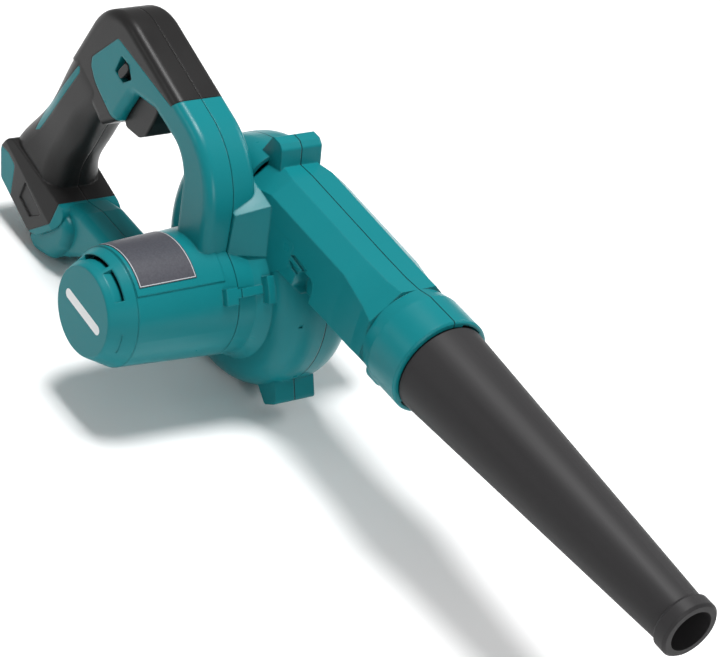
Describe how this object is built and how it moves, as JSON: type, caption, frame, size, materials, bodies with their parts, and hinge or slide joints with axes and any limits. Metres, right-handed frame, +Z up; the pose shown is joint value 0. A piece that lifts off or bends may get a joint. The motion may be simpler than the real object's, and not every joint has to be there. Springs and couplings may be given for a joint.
{
  "type": "leaf blower",
  "caption": "Handheld cordless leaf blower: side motor barrel, scroll fan case and duct, long tapered nozzle, soft-covered loop handle with trigger, battery slot under the foot.",
  "frame": {"origin": "centre of the air inlet's mouth, on the fan axis", "axes": "+X along the outlet, the way the air is blown; +Z up, from the fan to the top of the handle; +Y along the fan axis, out of the air inlet"},
  "size_m": [0.4803, 0.158, 0.1569],
  "materials": {
    "teal_plastic": "moulded glass-filled nylon, fine satin grain",
    "black_elastomer": "soft overmould, satin",
    "grey_plastic": "moulded, dull",
    "black_plastic": "moulded, satin",
    "label_plate": "dark print with a pale border",
    "fan_plastic": "moulded, satin",
    "motor_steel": "zinc plated sheet",
    "bright_steel": "ground",
    "core_steel": "stacked laminations",
    "ferrite": "sintered ferrite, dull",
    "copper": "bare copper and enamelled wire",
    "carbon": "pressed carbon",
    "seat_rubber": "moulded rubber",
    "board_green": "circuit board with solder mask",
    "lead_insulation": "wire insulation",
    "screw_steel": "black zinc"
  },
  "bodies": {
    "body": {"housing_right": "teal_plastic", "housing_left": "teal_plastic", "fan_cover": "teal_plastic", "motor_end_cap": "teal_plastic", "grip_skin_right": "black_elastomer", "grip_skin_left": "black_elastomer", "rating_plate": "label_plate", "switch_body": "black_plastic", "terminal_block": "black_plastic", "terminal_blades": "copper", "control_board": "board_green", "supply_leads": "lead_insulation", "motor_leads": "lead_insulation", "motor_can": "motor_steel", "motor_end_bell": "black_plastic", "magnets": "ferrite", "front_bearing": "bright_steel", "rear_bearing": "bright_steel", "brushes": "carbon", "motor_screws": "screw_steel", "motor_seat_ring": "seat_rubber", "housing_screws": "screw_steel", "case_screws": "screw_steel"},
    "rotor": {"motor_shaft": "bright_steel", "rotor_core": "core_steel", "rotor_windings": "copper", "commutator": "copper", "impeller": "fan_plastic", "impeller_washer": "bright_steel", "impeller_nut": "bright_steel"},
    "trigger": {"trigger": "black_plastic", "switch_plunger": "black_plastic"},
    "selector": {"speed_selector": "black_plastic"},
    "nozzle": {"nozzle": "grey_plastic"}
  },
  "joints": [
    {"name": "fan_spin", "type": "hinge", "parent": "body", "child": "rotor", "pos_m": [0, -0.09, 0], "axis": [0, 1, 0], "continuous": true},
    {"name": "trigger_pull", "type": "slide", "parent": "body", "child": "trigger", "axis": [-0.9336, 0, 0.3584], "range_m": [0, 0.006], "stiffness_N_per_m": 700, "springref_m": -0.004},
    {"name": "speed_selector", "type": "hinge", "parent": "body", "child": "selector", "pos_m": [-0.082, -0.1, 0.077], "axis": [0, 1, 0], "range_deg": [-20, 20]},
    {"name": "nozzle_twist", "type": "hinge", "parent": "body", "child": "nozzle", "pos_m": [0.12, -0.051, 0.0441], "axis": [1, 0, 0], "range_deg": [0, 40]}
  ]
}
